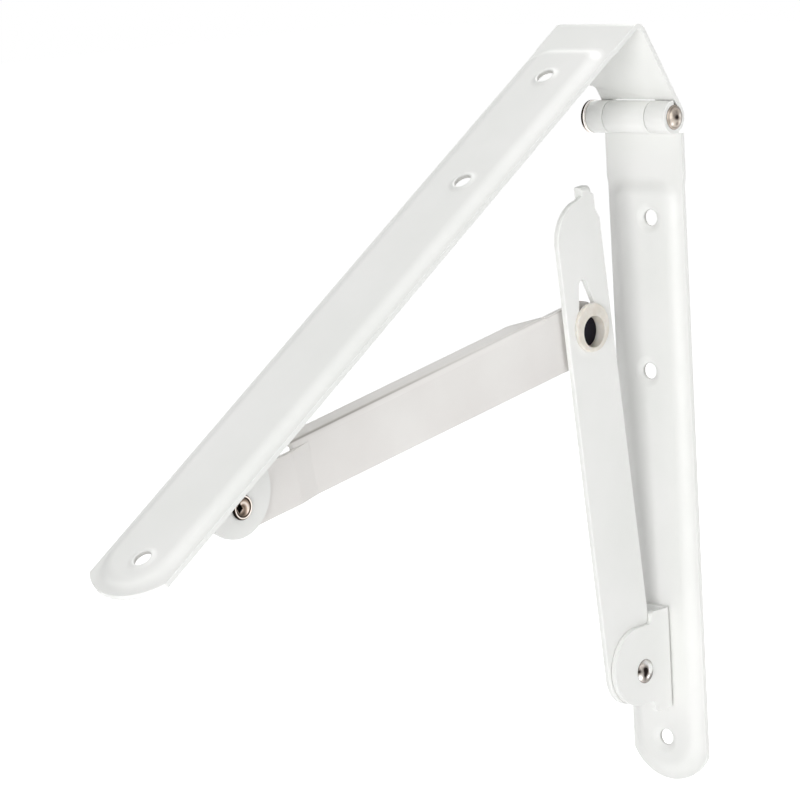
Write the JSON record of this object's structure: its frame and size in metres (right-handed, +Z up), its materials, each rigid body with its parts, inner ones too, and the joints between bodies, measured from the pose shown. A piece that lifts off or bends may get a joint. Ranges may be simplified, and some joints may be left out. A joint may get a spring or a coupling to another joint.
{
  "type": "folding shelf bracket",
  "caption": "Folding shelf bracket: embossed wall bar and shelf arm on a rolled hinge, held by a two-link folding stay with a slotted lever.",
  "frame": {"origin": "on the wall face at mid-width, 14 mm below the hinge pin, behind the flat strip under the barrel", "axes": "+Z up along the wall, -Y out into the room, +X to the right seen from the room"},
  "size_m": [0.0408, 0.2748, 0.2864],
  "materials": {
    "white_lacquer": "gloss",
    "nickel_plated_steel": "satin",
    "natural_nylon": "satin",
    "dark_steel": "satin"
  },
  "bodies": {
    "wall": {"wall_bar": "white_lacquer", "wall_lug": "white_lacquer", "hinge_pin": "nickel_plated_steel", "wall_rivet": "nickel_plated_steel"},
    "arm": {"shelf_arm": "white_lacquer", "arm_lug": "white_lacquer", "arm_rivet": "nickel_plated_steel"},
    "lever": {"lever": "white_lacquer", "elbow_eyelet": "natural_nylon", "elbow_pin": "dark_steel"},
    "strut": {"strut": "white_lacquer", "elbow_rivet": "nickel_plated_steel"}
  },
  "joints": [
    {"name": "arm_fold", "type": "hinge", "parent": "wall", "child": "arm", "pos_m": [0, -0.00605, 0.014], "axis": [-1, 0, 0], "range_deg": [-57.15, 32.85]},
    {"name": "strut_fold", "type": "hinge", "parent": "arm", "child": "strut", "pos_m": [0, -0.21954, -0.09302], "axis": [-1, 0, 0], "range_deg": [-17.5, 10.06]},
    {"name": "lever_fold", "type": "hinge", "parent": "wall", "child": "lever", "pos_m": [0, -0.0211, -0.1905], "axis": [1, 0, 0], "range_deg": [-9.1, 5.23]}
  ],
  "couplings": [
    {"joint": "strut_fold", "follows": "arm_fold", "ratio": 0.306},
    {"joint": "lever_fold", "follows": "arm_fold", "ratio": 0.159}
  ]
}
